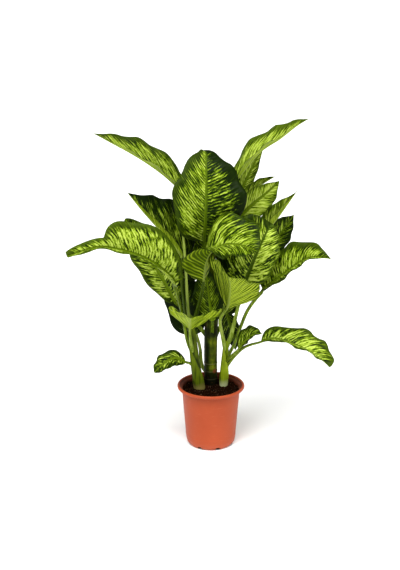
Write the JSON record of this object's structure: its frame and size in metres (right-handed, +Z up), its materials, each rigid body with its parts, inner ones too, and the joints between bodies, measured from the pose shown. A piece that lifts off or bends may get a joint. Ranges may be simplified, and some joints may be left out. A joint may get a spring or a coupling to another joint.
{
  "type": "potted dieffenbachia",
  "caption": "Bushy house plant with large waved, pale-streaked leaves on thick stems, standing in a round plastic nursery pot.",
  "frame": {"origin": "middle of the pot's flat bottom, on the surface that it stands on", "axes": "+Z up, the front of the plant is towards -Y, +X is to its right as seen from the front"},
  "size_m": [0.7968, 0.4862, 1.026],
  "materials": {
    "pot": "satin terracotta-coloured plastic",
    "soil": "damp crumbly potting soil",
    "cane": "smooth dark green stem with leaf scars",
    "shoot": "smooth light green shoot",
    "leaf": "satin leaf, pale streaks along its veins"
  },
  "bodies": {
    "root": {"pot": "pot", "soil": "soil", "cane": "cane", "left_shoot": "shoot", "right_shoot": "shoot", "leaf_top_left": "leaf", "leaf_upper_left": "leaf", "leaf_centre_tall": "leaf", "leaf_top_right": "leaf", "leaf_upper_right_back": "leaf", "leaf_right_narrow": "leaf", "leaf_right_bright": "leaf", "leaf_right_folded": "leaf", "leaf_right_centre": "leaf", "leaf_front_curled": "leaf", "leaf_left_arching": "leaf", "leaf_left_inner": "leaf", "leaf_left_dark": "leaf", "leaf_front_left_low": "leaf", "leaf_front_right_low": "leaf", "leaf_inner_upright": "leaf", "leaf_right_dark": "leaf", "leaf_right_large": "leaf", "leaf_low_right": "leaf", "leaf_low_right_small": "leaf", "leaf_inner_drooping": "leaf", "leaf_low_left_small": "leaf", "leaf_back_centre": "leaf", "leaf_back_left": "leaf", "leaf_back_right": "leaf", "leaf_back_low_left": "leaf", "leaf_back_low_right": "leaf"}
  },
  "joints": []
}
